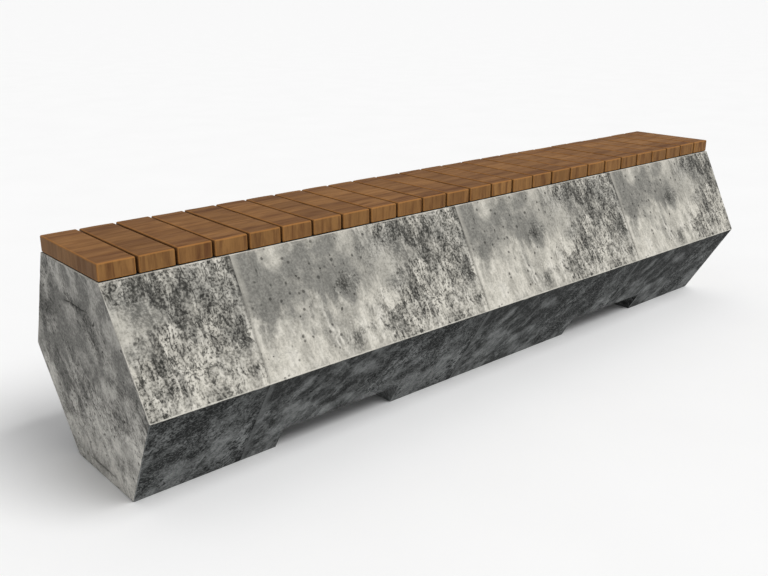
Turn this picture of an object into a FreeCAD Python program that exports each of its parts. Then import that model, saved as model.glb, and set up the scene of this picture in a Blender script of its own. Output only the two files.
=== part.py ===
import FreeCAD, Part
import os

# Backless bench: a precast concrete body, six-sided in section, with a
# timber seat of short cross slats carried on two hidden steel rails.
# Millimetres. X runs along the bench, -Y is the front and +Z is up.
# The origin is the middle of the footprint, on the ground.

# Concrete body
TOP_LENGTH = 2000.0
TOP_WIDTH = 257.0
WAIST_WIDTH = 500.0
BASE_WIDTH = 245.0
WAIST_HEIGHT = 217.0
CONCRETE_HEIGHT = 443.0
END_DRAFT = 25.0  # each end leans in this far between its top edge and the ground
ARRIS = 2.0  # chamfer on every outer edge of the casting

# Lifting notches, which split the base into feet: foot, notch, long foot, notch, foot
BASE_BAYS = 6
NOTCH_HEIGHT = 54.0

# Slats
SLAT_COUNT = 26
SLAT_WIDTH = 72.0
SLAT_LENGTH = 252.0
SLAT_THICKNESS = 33.0
SLAT_EDGE_RADIUS = 3.0
SEAT_LENGTH = 1998.0
SLAT_LIFT = 1.0  # how far the timber stands clear of the concrete

# Rails under the slats, and the rubber strips that bed them in their grooves
RAIL_OFFSET = 75.0  # each rail's centre line to the bench's centre line
RAIL_WIDTH = 40.0
RAIL_THICKNESS = 6.0
RAIL_LENGTH = 1970.0
PAD_THICKNESS = 2.0
GROOVE_MARGIN = 2.0  # room around the rail in its groove

# Slat screws, driven upwards through the rails
SCREW_RADIUS = 2.5
SCREW_HEAD_RADIUS = 4.8
SCREW_CLEARANCE_RADIUS = 2.75
SCREW_LENGTH = 30.0
SCREW_TIP = 4.0
SCREW_SOCKET_RADIUS = 1.7
SCREW_SOCKET_DEPTH = 1.8

# Studs welded into the rails and set in resin in the concrete
STUD_RADIUS = 5.0
STUD_LENGTH = 97.0
STUD_WELD_SET_BACK = 0.5  # the stud's end below the rail's top face
STUD_GAPS = (-11, -4, 4, 11)  # slat gaps that the studs stand under, counted from the middle
RESIN_RADIUS = 7.0
RESIN_DEPTH = 96.0
PAD_HOLE_RADIUS = 5.5

# Lifting sockets cast into the top face, each on a cross bar and closed by a cap
SOCKET_GAPS = (-7, 7)
SOCKET_RADIUS = 11.0
SOCKET_BORE_RADIUS = 8.0
SOCKET_LENGTH = 70.0
SOCKET_BORE_DEPTH = 45.0
SOCKET_BAR_RADIUS = 5.0
SOCKET_BAR_LENGTH = 120.0
SOCKET_BAR_HEIGHT = 13.0  # cross bar's axis above the socket's foot
CAP_FLANGE = 1.0
CAP_STEM = 12.0

# Reinforcement
COVER = 35.0
STIRRUP_RADIUS = 4.0
STIRRUP_BEND = 20.0
STIRRUP_COUNT = 9
STIRRUP_SPACING = 220.0
LONG_BAR_RADIUS = 5.0
LONG_BAR_LENGTH = 1880.0
LONG_BAR_CLEARANCE = 3.0  # between a long bar and the stirrups it is wired to

# Levels worked out from the sizes above
SLAT_BOTTOM = CONCRETE_HEIGHT + SLAT_LIFT
RAIL_BOTTOM = SLAT_BOTTOM - RAIL_THICKNESS
GROOVE_FLOOR = RAIL_BOTTOM - PAD_THICKNESS
SOCKET_TOP = CONCRETE_HEIGHT - CAP_FLANGE
SOCKET_FOOT = SOCKET_TOP - SOCKET_LENGTH
SLAT_PITCH = (SEAT_LENGTH - SLAT_WIDTH) / (SLAT_COUNT - 1)
BASE_LENGTH = TOP_LENGTH - 2 * END_DRAFT

FULL_TURN = 360.0
X_AXIS = FreeCAD.Vector(1, 0, 0)
Y_AXIS = FreeCAD.Vector(0, 1, 0)
Z_AXIS = FreeCAD.Vector(0, 0, 1)


def slat_centres():
    """X of each slat's centre line, from the -X end."""
    middle = (SLAT_COUNT - 1) / 2
    return [(i - middle) * SLAT_PITCH for i in range(SLAT_COUNT)]


def rail_lines():
    """Y of the front and back rail."""
    return {"front": -RAIL_OFFSET, "back": RAIL_OFFSET}


def half_width(z):
    """Half of the concrete's width at height z, before its edges are chamfered."""
    if z < WAIST_HEIGHT:
        share = z / WAIST_HEIGHT
        return (BASE_WIDTH + share * (WAIST_WIDTH - BASE_WIDTH)) / 2
    share = (z - WAIST_HEIGHT) / (CONCRETE_HEIGHT - WAIST_HEIGHT)
    return (WAIST_WIDTH + share * (TOP_WIDTH - WAIST_WIDTH)) / 2


def closed_face(points):
    return Part.Face(Part.makePolygon(points + points[:1]))


def section_face(low, high, x):
    """The six-sided section between two heights, standing at x."""
    right = [(half_width(z), z) for z in (low, WAIST_HEIGHT, high)]
    left = [(-y, z) for y, z in reversed(right)]
    return closed_face([FreeCAD.Vector(x, y, z) for y, z in right + left])


def cylinder(radius, height, x, y, z, axis=Z_AXIS):
    return Part.makeCylinder(radius, height, FreeCAD.Vector(x, y, z), axis)


def turned(profile, x, y):
    """A solid of revolution about the upright line at x, y, from (radius, z) points."""
    face = closed_face([FreeCAD.Vector(radius, 0, z) for radius, z in profile])
    solid = face.revolve(FreeCAD.Vector(0, 0, 0), Z_AXIS, FULL_TURN)
    solid.translate(FreeCAD.Vector(x, y, 0))
    return solid


def centred_bar(length, width, low, high, y):
    """A flat bar along X, centred on the line at y, between two heights."""
    corner = FreeCAD.Vector(-length / 2, y - width / 2, low)
    return Part.makeBox(length, width, high - low, corner)


def side_face():
    """The bench seen from the front: leaning ends and two notches in the base."""
    bay = BASE_LENGTH / BASE_BAYS
    notch_outline = [(-2 * bay, 0), (-2 * bay, NOTCH_HEIGHT), (-bay, NOTCH_HEIGHT), (-bay, 0)]
    left = [(-TOP_LENGTH / 2, CONCRETE_HEIGHT), (-BASE_LENGTH / 2, 0)] + notch_outline
    right = [(-x, z) for x, z in reversed(left)]
    return closed_face([FreeCAD.Vector(x, -WAIST_WIDTH / 2, z) for x, z in left + right])


def is_notch_corner(edge):
    """True for the inner corners between a notch's ceiling and its side walls."""
    ends = [vertex.Point for vertex in edge.Vertexes]
    level = all(abs(point.z - NOTCH_HEIGHT) < ARRIS for point in ends)
    return level and abs(ends[0].x - ends[1].x) < ARRIS


def concrete_blank():
    """The casting's outer shape, with no grooves or holes."""
    along = section_face(0, CONCRETE_HEIGHT, -TOP_LENGTH / 2).extrude(X_AXIS * TOP_LENGTH)
    across = side_face().extrude(Y_AXIS * WAIST_WIDTH)
    blank = along.common(across).removeSplitter()
    outer_edges = [edge for edge in blank.Edges if not is_notch_corner(edge)]
    return blank.makeChamfer(ARRIS, outer_edges)


def stirrup_positions():
    middle = (STIRRUP_COUNT - 1) / 2
    return [(i - middle) * STIRRUP_SPACING for i in range(STIRRUP_COUNT)]


def stirrup(x):
    """One closed link, bent round inside the section with the cover outside it."""
    zone = section_face(NOTCH_HEIGHT, GROOVE_FLOOR, x)
    inset = COVER + STIRRUP_RADIUS + STIRRUP_BEND
    path = zone.OuterWire.makeOffset2D(-inset, 2).makeOffset2D(STIRRUP_BEND, 0)
    start = path.Edges[0]
    circle = Part.makeCircle(
        STIRRUP_RADIUS,
        start.valueAt(start.FirstParameter),
        start.tangentAt(start.FirstParameter),
    )
    return Part.Wire(path.Edges).makePipeShell([Part.Wire(circle)], True, False)


def long_bars():
    """Six straight bars, one inside each corner of the stirrups."""
    zone = section_face(NOTCH_HEIGHT, GROOVE_FLOOR, -LONG_BAR_LENGTH / 2)
    inset = COVER + 2 * STIRRUP_RADIUS + LONG_BAR_CLEARANCE + LONG_BAR_RADIUS
    corners = zone.OuterWire.makeOffset2D(-inset, 2).Vertexes
    return [
        Part.makeCylinder(LONG_BAR_RADIUS, LONG_BAR_LENGTH, corner.Point, X_AXIS)
        for corner in corners
    ]


def socket_body(x):
    return cylinder(SOCKET_RADIUS, SOCKET_LENGTH, x, 0, SOCKET_FOOT)


def socket_bar(x):
    height = SOCKET_FOOT + SOCKET_BAR_HEIGHT
    return cylinder(SOCKET_BAR_RADIUS, SOCKET_BAR_LENGTH, x, -SOCKET_BAR_LENGTH / 2, height, Y_AXIS)


def lifting_socket(x):
    bore = cylinder(SOCKET_BORE_RADIUS, SOCKET_BORE_DEPTH, x, 0, SOCKET_TOP - SOCKET_BORE_DEPTH)
    return socket_body(x).cut(bore).cut(socket_bar(x))


def socket_cap(x):
    flange = cylinder(SOCKET_RADIUS, CAP_FLANGE, x, 0, SOCKET_TOP)
    stem = cylinder(SOCKET_BORE_RADIUS, CAP_STEM, x, 0, SOCKET_TOP - CAP_STEM)
    return flange.fuse(stem).removeSplitter()


def stud(x, y):
    top = SLAT_BOTTOM - STUD_WELD_SET_BACK
    return cylinder(STUD_RADIUS, STUD_LENGTH, x, y, top - STUD_LENGTH)


def resin_hole(x, y):
    return cylinder(RESIN_RADIUS, RESIN_DEPTH, x, y, GROOVE_FLOOR - RESIN_DEPTH)


def screw_blank(x, y):
    """A countersunk screw with its head flush in the rail's underside and its point up."""
    tip = RAIL_BOTTOM + SCREW_LENGTH
    profile = [
        (0, RAIL_BOTTOM),
        (SCREW_HEAD_RADIUS, RAIL_BOTTOM),
        (SCREW_RADIUS, RAIL_BOTTOM + SCREW_HEAD_RADIUS - SCREW_RADIUS),
        (SCREW_RADIUS, tip - SCREW_TIP),
        (0, tip),
    ]
    return turned(profile, x, y)


def screw_socket(x, y):
    """The hexagonal recess in a screw's head."""
    ring = Part.makeCircle(SCREW_SOCKET_RADIUS, FreeCAD.Vector(x, y, RAIL_BOTTOM), Z_AXIS)
    corners = ring.discretize(7)
    return closed_face(corners[:6]).extrude(Z_AXIS * SCREW_SOCKET_DEPTH)


def rail_hole(x, y):
    """A clearance hole through the rail, countersunk from below."""
    flare = SCREW_HEAD_RADIUS - SCREW_CLEARANCE_RADIUS
    profile = [
        (0, RAIL_BOTTOM),
        (SCREW_HEAD_RADIUS, RAIL_BOTTOM),
        (SCREW_CLEARANCE_RADIUS, RAIL_BOTTOM + flare),
        (SCREW_CLEARANCE_RADIUS, SLAT_BOTTOM),
        (0, SLAT_BOTTOM),
    ]
    return turned(profile, x, y)


def rail(y):
    bar = centred_bar(RAIL_LENGTH, RAIL_WIDTH, RAIL_BOTTOM, SLAT_BOTTOM, y)
    holes = [rail_hole(x, y) for x in slat_centres()]
    studs = [cylinder(STUD_RADIUS, RAIL_THICKNESS, x, y, RAIL_BOTTOM) for x in stud_lines()]
    return bar.cut(holes + studs)


def rail_pad(y):
    strip = centred_bar(RAIL_LENGTH, RAIL_WIDTH, GROOVE_FLOOR, RAIL_BOTTOM, y)
    holes = [cylinder(PAD_HOLE_RADIUS, PAD_THICKNESS, x, y, GROOVE_FLOOR) for x in stud_lines()]
    return strip.cut(holes)


def groove(y):
    length = RAIL_LENGTH + 2 * GROOVE_MARGIN
    width = RAIL_WIDTH + 2 * GROOVE_MARGIN
    return centred_bar(length, width, GROOVE_FLOOR, CONCRETE_HEIGHT, y)


def stud_lines():
    return [gap * SLAT_PITCH for gap in STUD_GAPS]


def socket_lines():
    return [gap * SLAT_PITCH for gap in SOCKET_GAPS]


def slat(x):
    """One cross slat with eased edges and two pilot holes in its underside."""
    corner = FreeCAD.Vector(x - SLAT_WIDTH / 2, -SLAT_LENGTH / 2, SLAT_BOTTOM)
    board = Part.makeBox(SLAT_WIDTH, SLAT_LENGTH, SLAT_THICKNESS, corner)
    board = board.makeFillet(SLAT_EDGE_RADIUS, board.Edges)
    return board.cut([screw_blank(x, y) for y in rail_lines().values()])


def concrete_body(cast_in):
    """The casting, cut by everything that is set into it."""
    rails = rail_lines().values()
    cuts = [groove(y) for y in rails]
    cuts += [resin_hole(x, y) for y in rails for x in stud_lines()]
    for x in socket_lines():
        cuts.append(cylinder(SOCKET_RADIUS, SOCKET_LENGTH + CAP_FLANGE, x, 0, SOCKET_FOOT))
        cuts.append(socket_bar(x))
    return concrete_blank().cut(cuts).cut(cast_in)


def export(name, solids):
    """Writes one node. Pieces that are alike share a node as separate solids."""
    shape = solids[0] if len(solids) == 1 else Part.makeCompound(solids)
    shape.exportStep("parts/" + name + ".step")


def main():
    os.makedirs("parts", exist_ok=True)

    stirrups = [stirrup(x) for x in stirrup_positions()]
    bars = long_bars()
    export("concrete_body", [concrete_body(stirrups + bars)])
    export("rebar_stirrups", stirrups)
    export("rebar_long_bars", bars)

    export("lifting_sockets", [lifting_socket(x) for x in socket_lines()])
    export("lifting_socket_bars", [socket_bar(x) for x in socket_lines()])
    export("lifting_socket_caps", [socket_cap(x) for x in socket_lines()])

    stud_places = [(x, y) for y in rail_lines().values() for x in stud_lines()]
    export("rail_studs", [stud(x, y) for x, y in stud_places])
    export("stud_resin", [resin_hole(x, y).cut(stud(x, y)) for x, y in stud_places])

    for side, y in rail_lines().items():
        export("rail_" + side, [rail(y)])
        export("rail_pad_" + side, [rail_pad(y)])
        screws = [screw_blank(x, y).cut(screw_socket(x, y)) for x in slat_centres()]
        export("slat_screws_" + side, screws)

    for number, x in enumerate(slat_centres(), start=1):
        export("slat_%02d" % number, [slat(x)])


main()
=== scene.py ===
import math
import random

import bmesh
import bpy
import numpy as np
from bpy.props import FloatProperty, FloatVectorProperty, IntProperty, PointerProperty
from mathutils import Matrix, Vector, geometry, noise


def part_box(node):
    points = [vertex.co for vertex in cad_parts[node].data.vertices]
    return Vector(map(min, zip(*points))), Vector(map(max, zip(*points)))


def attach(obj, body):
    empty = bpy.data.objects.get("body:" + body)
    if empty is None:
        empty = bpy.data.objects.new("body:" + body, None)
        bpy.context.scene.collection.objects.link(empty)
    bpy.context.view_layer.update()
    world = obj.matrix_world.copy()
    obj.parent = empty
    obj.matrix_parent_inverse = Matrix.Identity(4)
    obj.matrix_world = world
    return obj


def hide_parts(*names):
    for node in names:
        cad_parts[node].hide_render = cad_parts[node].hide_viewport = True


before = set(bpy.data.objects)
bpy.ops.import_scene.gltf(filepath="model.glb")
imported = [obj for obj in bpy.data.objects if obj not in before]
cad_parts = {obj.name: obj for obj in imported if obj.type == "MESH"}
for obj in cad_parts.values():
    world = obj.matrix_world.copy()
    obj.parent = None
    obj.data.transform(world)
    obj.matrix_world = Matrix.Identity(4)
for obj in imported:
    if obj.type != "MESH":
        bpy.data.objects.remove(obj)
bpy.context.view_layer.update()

bl_info = {
    "name": "Slatted Concrete Bench",
    "version": (1, 0, 0),
    "blender": (4, 5, 0),
    "location": "View3D > Sidebar > Bench",
    "description": "Builds the visible casting, seat slats, metalwork and stage of a street bench",
    "category": "Object",
}

CASTING_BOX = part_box("concrete_body")
SLATS = sorted(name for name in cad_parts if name.startswith("slat_") and name[5:].isdigit())
FRONT, BACK = -1, 1
MM = 0.001
SAME_PLACE = 1e-6
CASTING_SEED, SLAT_SEED = 71, 26
BANDS = ((-0.115, -0.090, 0.65), (-0.055, -0.038, 0.45), (0.084, 0.108, 0.7))  # from, to, depth
BAND_EDGE = 8 * MM
HAIRLINES = ((-0.048, 0.050, 0.367), (-0.060, 0.054, 0.023))  # from, to, height on the near end


# Settings


def length(name, description, default):
    return FloatProperty(name=name, description=description, default=default, unit="LENGTH")


def colour(name, description, default):
    return FloatVectorProperty(name=name, description=description, default=default, subtype="COLOR")


class CastingSettings(bpy.types.PropertyGroup):
    """Sizes and colours of the concrete body"""

    top_length: length("Top length", "Length along the top arris", 2.0)
    top_width: length("Top width", "Width of the top face", 0.257)
    waist_width: length("Waist width", "Width at the waist arris", 0.5)
    base_width: length("Base width", "Width of the feet", 0.245)
    height: length("Height", "Top of the casting", CASTING_BOX[1].z)
    waist_height: length("Waist height", "Height of the waist arris", 0.217)
    end_draft: length("End draft", "How far each end leans in", 0.025)
    notch_height: length("Notch height", "Height of the base notches", 0.054)
    base_bays: IntProperty(
        name="Base bays", description="Equal parts that feet and notches take", default=6
    )
    arris: length("Arris", "Rounding of the outer edges", 0.0018)
    chip_size: length("Chip size", "Largest chip along an arris", 0.003)
    groove_margin: length("Groove margin", "Room around a rail", 0.002)
    mesh_step: length("Mesh step", "Spacing of points on a face", 0.009)
    relief: length("Relief", "Height of the cast face's unevenness", 0.0004)
    joint_width: length("Joint width", "Half width of a form joint's fin", 0.0016)
    joint_height: length("Joint height", "Height of a form joint's fin", 0.0005)
    joint_pitch: length("Joint pitch", "Distance between form joints", 0.61)
    joint_offset: length("Joint offset", "The middle form joint's place", -0.13)
    blow_holes: IntProperty(
        name="Blow holes", description="Air holes on each square metre of face", default=190
    )
    bright: colour("Bright", "Brightest cement skin", (0.66, 0.635, 0.57))
    pale: colour("Pale", "Cream cement skin", (0.52, 0.497, 0.436))
    grey: colour("Grey", "Bare grey patches", (0.205, 0.20, 0.18))
    dark: colour("Dark", "Streaks and pores", (0.022, 0.022, 0.019))
    end_bright: colour("End bright", "End faces, brightest", (0.65, 0.634, 0.586))
    end_pale: colour("End pale", "End faces, light", (0.55, 0.533, 0.492))
    end_grey: colour("End grey", "End faces, mid", (0.175, 0.172, 0.159))
    # The underside colours are painted shade: darker, cooler copies of the upper colours for the faces
    # that turn down and away from the light.
    lower_shaded_bright: colour("Underside bright", "Lower faces, brightest", (0.27, 0.281, 0.277))
    lower_shaded_pale: colour("Underside pale", "Lower faces, light", (0.16, 0.166, 0.164))
    lower_shaded_grey: colour("Underside grey", "Lower faces, mid", (0.022, 0.0235, 0.023))
    lower_shaded_dark: colour("Underside dark", "Lower faces, streaks", (0.003, 0.004, 0.004))


class TimberSettings(bpy.types.PropertyGroup):
    """Sizes and colours of the seat slats"""

    edge_radius: length("Edge radius", "Easing of a slat's edges", 0.003)
    edge_steps: IntProperty(
        name="Edge steps", description="Faces round an eased edge", default=3
    )
    mesh_step: length("Mesh step", "Spacing of points on a slat", 0.011)
    cup: length("Cup", "How far a slat's top cups", 0.0005)
    shift: length("Shift", "How far slats stand out of line", 0.0006)
    light: colour("Light", "Early wood", (0.27, 0.138, 0.056))
    body: colour("Body", "Main timber colour", (0.19, 0.094, 0.037))
    streak: colour("Streak", "Dark grain", (0.088, 0.034, 0.015))
    # Rim is partly edge wear and partly painted highlight, laid on the eased edges where they catch
    # light.
    rim: colour("Rim", "Oiled edges", (0.34, 0.155, 0.048))


class StageSettings(bpy.types.PropertyGroup):
    """Camera, light and floor"""

    camera_place: FloatVectorProperty(
        name="Camera place", description="Where the camera stands", subtype="TRANSLATION",
        unit="LENGTH", default=(-1.573, -1.516, 0.913),
    )
    camera_tilt: FloatProperty(
        name="Camera tilt", description="Angle up from straight down", subtype="ANGLE",
        default=math.radians(71.39),
    )
    camera_heading: FloatProperty(
        name="Camera heading", description="Turn about the upright", subtype="ANGLE",
        default=math.radians(-41.41),
    )
    lens: FloatProperty(
        name="Lens", description="Focal length on a 36 mm sensor", default=41.09
    )
    floor_size: length("Floor size", "Side of the floor", 600.0)
    floor_colour: colour("Floor colour", "Pale floor", (0.92, 0.92, 0.92))
    sky_strength: FloatProperty(
        name="Sky strength", description="Soft light from all round", default=0.5
    )
    key_strength: FloatProperty(
        name="Key strength", description="Soft distant light above the front", default=2.2
    )
    key_spread: FloatProperty(
        name="Key spread", description="How wide the key light's source looks", subtype="ANGLE",
        default=math.radians(35),
    )
    key_from: FloatVectorProperty(
        name="Key from", description="Direction the key light comes from", subtype="DIRECTION",
        default=(0.25, -0.55, 0.8),
    )


# Finishes: each builds one node material


class Signal:
    """One output of a node, which can be added to and multiplied like a number."""

    def __init__(self, finish, socket):
        self.finish = finish
        self.socket = socket

    def __add__(self, other):
        return self.finish.maths("ADD", self, other)

    def __sub__(self, other):
        return self.finish.maths("SUBTRACT", self, other)

    def __rsub__(self, other):
        return self.finish.maths("SUBTRACT", other, self)

    def __mul__(self, other):
        return self.finish.maths("MULTIPLY", self, other)

    def __truediv__(self, other):
        return self.finish.maths("DIVIDE", self, other)


class Finish:
    """A material being made: adds nodes and sets or links their inputs by name."""

    def __init__(self, name):
        self.material = bpy.data.materials.new(name)
        self.material.use_nodes = True
        self.tree = self.material.node_tree
        self.coords = self.add("ShaderNodeTexCoord", {}, "Object")

    def put(self, node, inputs):
        for key, value in inputs.items():
            if isinstance(value, Signal):
                self.tree.links.new(value.socket, node.inputs[key])
            else:
                node.inputs[key].default_value = value

    def add(self, kind, inputs, *outputs, **settings):
        """Adds a node and returns the outputs asked for."""
        node = self.tree.nodes.new(kind)
        for key, value in settings.items():
            setattr(node, key, value)
        self.put(node, inputs)
        signals = [Signal(self, node.outputs[name]) for name in outputs]
        return signals if len(signals) > 1 else signals[0]

    def drawn_out(self, stretch, turn=(0, 0, 0), coords=None):
        """Coordinates in which a pattern comes out stretched along the turned axes."""
        inputs = {"Vector": coords or self.coords, "Scale": stretch, "Rotation": turn}
        return self.add("ShaderNodeMapping", inputs, "Vector", vector_type="TEXTURE")

    def noise(self, scale, detail=3.0, rough=0.5, coords=None, distortion=0.0, output="Fac"):
        inputs = {"Vector": coords or self.coords, "Scale": scale, "Detail": detail}
        inputs.update({"Roughness": rough, "Distortion": distortion})
        return self.add("ShaderNodeTexNoise", inputs, output)

    def cells(self, scale, coords=None):
        """A pattern of cells: the distance from each one's middle, and a colour for each."""
        inputs = {"Vector": coords or self.coords, "Scale": scale}
        return self.add("ShaderNodeTexVoronoi", inputs, "Distance", "Color")

    def channel(self, colour, name):
        return self.add("ShaderNodeSeparateColor", {"Color": colour}, name)

    def axes(self):
        return self.add("ShaderNodeSeparateXYZ", {"Vector": self.coords}, "X", "Y", "Z")

    def stored(self, name, output="Fac"):
        """A value stored on the mesh's points."""
        return self.add("ShaderNodeAttribute", {}, output, attribute_name=name)

    def vectors(self, operation, first, second):
        inputs = {0: first, 1: second}
        return self.add("ShaderNodeVectorMath", inputs, "Vector", operation=operation)

    def maths(self, operation, first, second=0.0, clamp=False):
        inputs = {0: first, 1: second}
        return self.add("ShaderNodeMath", inputs, 0, operation=operation, use_clamp=clamp)

    def span(self, value, low, high, to_low=0.0, to_high=1.0):
        """Carries the range from low to high over to another range, and stays within it."""
        inputs = {"Value": value, "From Min": low, "From Max": high}
        inputs.update({"To Min": to_low, "To Max": to_high})
        return self.add("ShaderNodeMapRange", inputs, "Result", clamp=True)

    def hill(self, value, foot_low, top_low, top_high, foot_high):
        """1 between two places, falling to 0 outside them."""
        return self.span(value, foot_low, top_low) * self.span(value, foot_high, top_high)

    def mix(self, factor, first, second, blend="MIX"):
        inputs = {0: factor, 6: opaque(first), 7: opaque(second)}
        return self.add("ShaderNodeMix", inputs, 2, data_type="RGBA", blend_type=blend)

    def bump(self, height, distance, strength=1.0):
        inputs = {"Height": height, "Distance": distance, "Strength": strength}
        return self.add("ShaderNodeBump", inputs, "Normal")

    def done(self, **inputs):
        shader = self.tree.nodes["Principled BSDF"]
        self.put(shader, {key.replace("_", " "): value for key, value in inputs.items()})
        return self.material


def opaque(colour):
    return colour if isinstance(colour, Signal) else (*colour[:3], 1.0)


class ConcreteFinish(Finish):
    """Cast concrete, with the same pattern left by every form panel.

    stretch and turn draw the streaks out down the face. strength is how strongly
    veins and speckles darken it. zone is the lowest and highest point of a face that
    has a smooth grey patch after each joint and cream below it. even, from 0 to 1, is
    how far a zoned face keeps the same smoothness all along.
    """

    GREY_PART = (0.31, 0.52, 0.84, 1.2)  # shares of a zone's height: rise, top, top, fall
    VEINED_PART = (0.42, 0.62, 0.98, 1.2)  # shares of a panel's length
    SMOOTH_PART = (-0.06, 0.06, 0.40, 0.56)
    VEIN_DARKNESS = 0.85
    SPECK_DARKNESS = 0.7
    HOLLOW_PAINTED_SHADE = 0.6
    SMUDGE_DARKNESS = 0.45
    PORED = 0.94  # cells above this chance are pores
    RELIEF = 0.0016

    def __init__(self, name, s, colours, stretch, turn, strength, zone=None, even=0.0):
        super().__init__(name)
        self.bright, self.pale, self.grey, self.dark = colours
        self.lay_out_panels(s)
        self.lay_patterns(stretch, turn)
        veined = self.zoned(zone, even) if zone else self.unzoned()
        veined = veined * self.span(self.clusters, 0.42, 0.58, 0.12, 1.25)
        self.veined = self.maths("MULTIPLY", veined, strength, clamp=True)
        self.tone = self.mix(self.span(self.greyness, 0.0, 1.0), self.pale, self.grey)
        self.streak()
        vein = self.vein()
        self.roughen()
        pores = self.pore()
        self.mark_joints()
        # Painted shade inside blow holes and hairline cracks, as strong as each point's stored share.
        self.stain(self.stored("hollow_shade") * self.HOLLOW_PAINTED_SHADE, self.dark)
        # Arrises are lightened towards the bright colour: partly wear, partly painted highlight where
        # the rounded edge catches light.
        arris_wear_and_highlight = self.stored("arris") * self.span(self.mid, 0.4, 0.6, 0.25, 0.75)
        self.stain(arris_wear_and_highlight, self.bright)
        relief = self.streaks + self.grain * 0.5 - (pores + vein) * 0.6
        self.done(
            Base_Color=self.tone, Roughness=self.span(self.streaks, 0.3, 0.7, 0.78, 0.95),
            Normal=self.bump(relief, self.RELIEF, 0.6), Specular_IOR_Level=0.2,
        )

    def lay_out_panels(self, s):
        """Places that start again at each form joint, so every panel looks alike."""
        x, y, self.height = self.axes()
        panels = (x - s.joint_offset) / s.joint_pitch
        self.along = panels - self.maths("FLOOR", panels)
        self.past_joint = self.along * s.joint_pitch
        to_next = s.joint_pitch - self.past_joint
        self.to_joint = self.maths("MINIMUM", self.past_joint, to_next)
        place = {"X": self.past_joint, "Y": y, "Z": self.height}
        self.place = self.add("ShaderNodeCombineXYZ", place, "Vector")
        swirl = self.noise(11.0, coords=self.place, output="Color")
        swirl = self.vectors("MULTIPLY", swirl, (0.02, 0.02, 0.02))
        self.bent = self.vectors("ADD", self.place, swirl)

    def lay_patterns(self, stretch, turn):
        """The noises that everything else is mixed from, from the widest to the finest."""
        self.lined = self.drawn_out(stretch, turn, self.bent)
        wide = self.noise(4.0, 4.0, 0.6)
        apart = self.vectors("ADD", self.place, (0.31, 0.0, 0.17))
        self.clusters = self.noise(10.0, 3.0, 0.6, apart)
        self.mid = self.noise(16.0, 5.0, 0.6, self.bent)
        self.drips = self.noise(22.0, 4.0, 0.6, self.lined)
        coarse = self.noise(32.0, 5.0, 0.64, self.lined, 0.8)
        self.runs = self.noise(42.0, 3.0, 0.6, self.drawn_out((1.0, 4.0, 4.0), turn, self.bent))
        self.fine = self.noise(90.0, 4.0, 0.62, self.lined, 0.6)
        self.grain = self.noise(210.0, 3.0, 0.65, self.bent)
        self.streaks = coarse * 0.58 + self.fine * 0.42
        self.greyness = self.span(wide * 0.35 + self.mid * 0.65, 0.40, 0.60, -0.5, 0.5)
        self.ragged_along = self.along + self.span(self.mid, 0.3, 0.7, -0.14, 0.14)
        self.calm = 1.0 - self.hill(self.ragged_along, *self.VEINED_PART)

    def zoned(self, zone, even):
        """Greys the upper part of a face and smooths it after each joint."""
        up = self.span(self.height, *zone) + self.span(self.drips, 0.3, 0.7, -0.2, 0.2)
        self.above = self.hill(up, *self.GREY_PART)
        smooth = self.above * self.hill(self.ragged_along, *self.SMOOTH_PART)
        self.calm = self.maths("MAXIMUM", self.calm, even)
        self.smooth = self.maths("MAXIMUM", smooth, self.above * (even * 0.7))
        self.greyness = self.greyness + self.above * 0.66 + self.smooth * 0.2 + 0.14
        return 0.85 - self.calm * 0.75 + self.above * 0.2 - self.smooth * 0.2

    def unzoned(self):
        """Greys a face steadily from the ground up."""
        self.above = self.span(self.height, 0.0, 0.22)
        self.smooth = 0.25
        self.greyness = self.greyness * 1.5 + self.span(self.height, 0.0, 0.2, 0.1, 0.95)
        return 1.0 - self.calm * 0.7

    def stain(self, amount, colour):
        self.tone = self.mix(amount, self.tone, colour)

    def streak(self):
        """Clouds, cement streaks, smudges and runs."""
        self.stain(self.span(self.clusters, 0.48, 0.62, 0.0, 0.15) * self.veined, self.dark)
        lit = 0.85 - self.smooth - self.above * 0.42
        light = self.span(self.streaks, 0.50, 0.62) * lit
        self.stain(self.maths("MAXIMUM", light, 0.0), self.bright)
        self.stain(self.span(self.streaks, 0.51, 0.38, 0.0, 0.28), self.dark)
        smudge = self.span(self.streaks, 0.50, 0.42) * self.veined
        self.stain(smudge * self.SMUDGE_DARKNESS, self.dark)
        run = self.span(self.veined, 0.0, 0.7, 0.15, 0.65)
        self.stain(self.span(self.runs, 0.47, 0.38) * run, self.dark)

    def vein(self):
        """Thin broken veins."""
        winding = self.noise(50.0, 3.0, 0.6, self.lined, 1.6)
        off_line = self.maths("ABSOLUTE", winding - 0.5)
        broken = self.span(self.veined, 0.2, 0.6) * self.span(self.fine, 0.56, 0.48)
        vein = self.span(off_line, 0.05, 0.02) * broken
        self.stain(vein * self.VEIN_DARKNESS, self.dark)
        return vein

    def roughen(self):
        """Sandy grit, both dull and bright, and dark specks."""
        gritty = 1.0 - self.calm * 0.45
        self.stain(self.span(self.grain, 0.49, 0.38, 0.0, 0.3) * gritty, self.dark)
        sunken = gritty - self.above * 0.3
        self.stain(self.span(self.grain, 0.52, 0.62, 0.0, 0.33) * sunken, self.bright)
        speck = self.span(self.grain, 0.46, 0.41) * self.veined
        self.stain(speck * self.SPECK_DARKNESS, self.dark)

    def pore(self):
        """Pin holes, a few more of them where the face is smooth."""
        distance, colour = self.cells(90.0, self.bent)
        chance = self.channel(colour, "Red") + self.smooth * 0.10
        pores = self.span(distance, 0.40, 0.22) * self.maths("GREATER_THAN", chance, self.PORED)
        self.stain(pores * self.SPECK_DARKNESS, self.dark)
        return pores

    def mark_joints(self):
        """A ragged dark line at each form joint, partly a joint mark and partly painted shade beside
        the fin, and a pale strip beside it, a painted highlight on the fin's lit side.
        """
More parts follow.
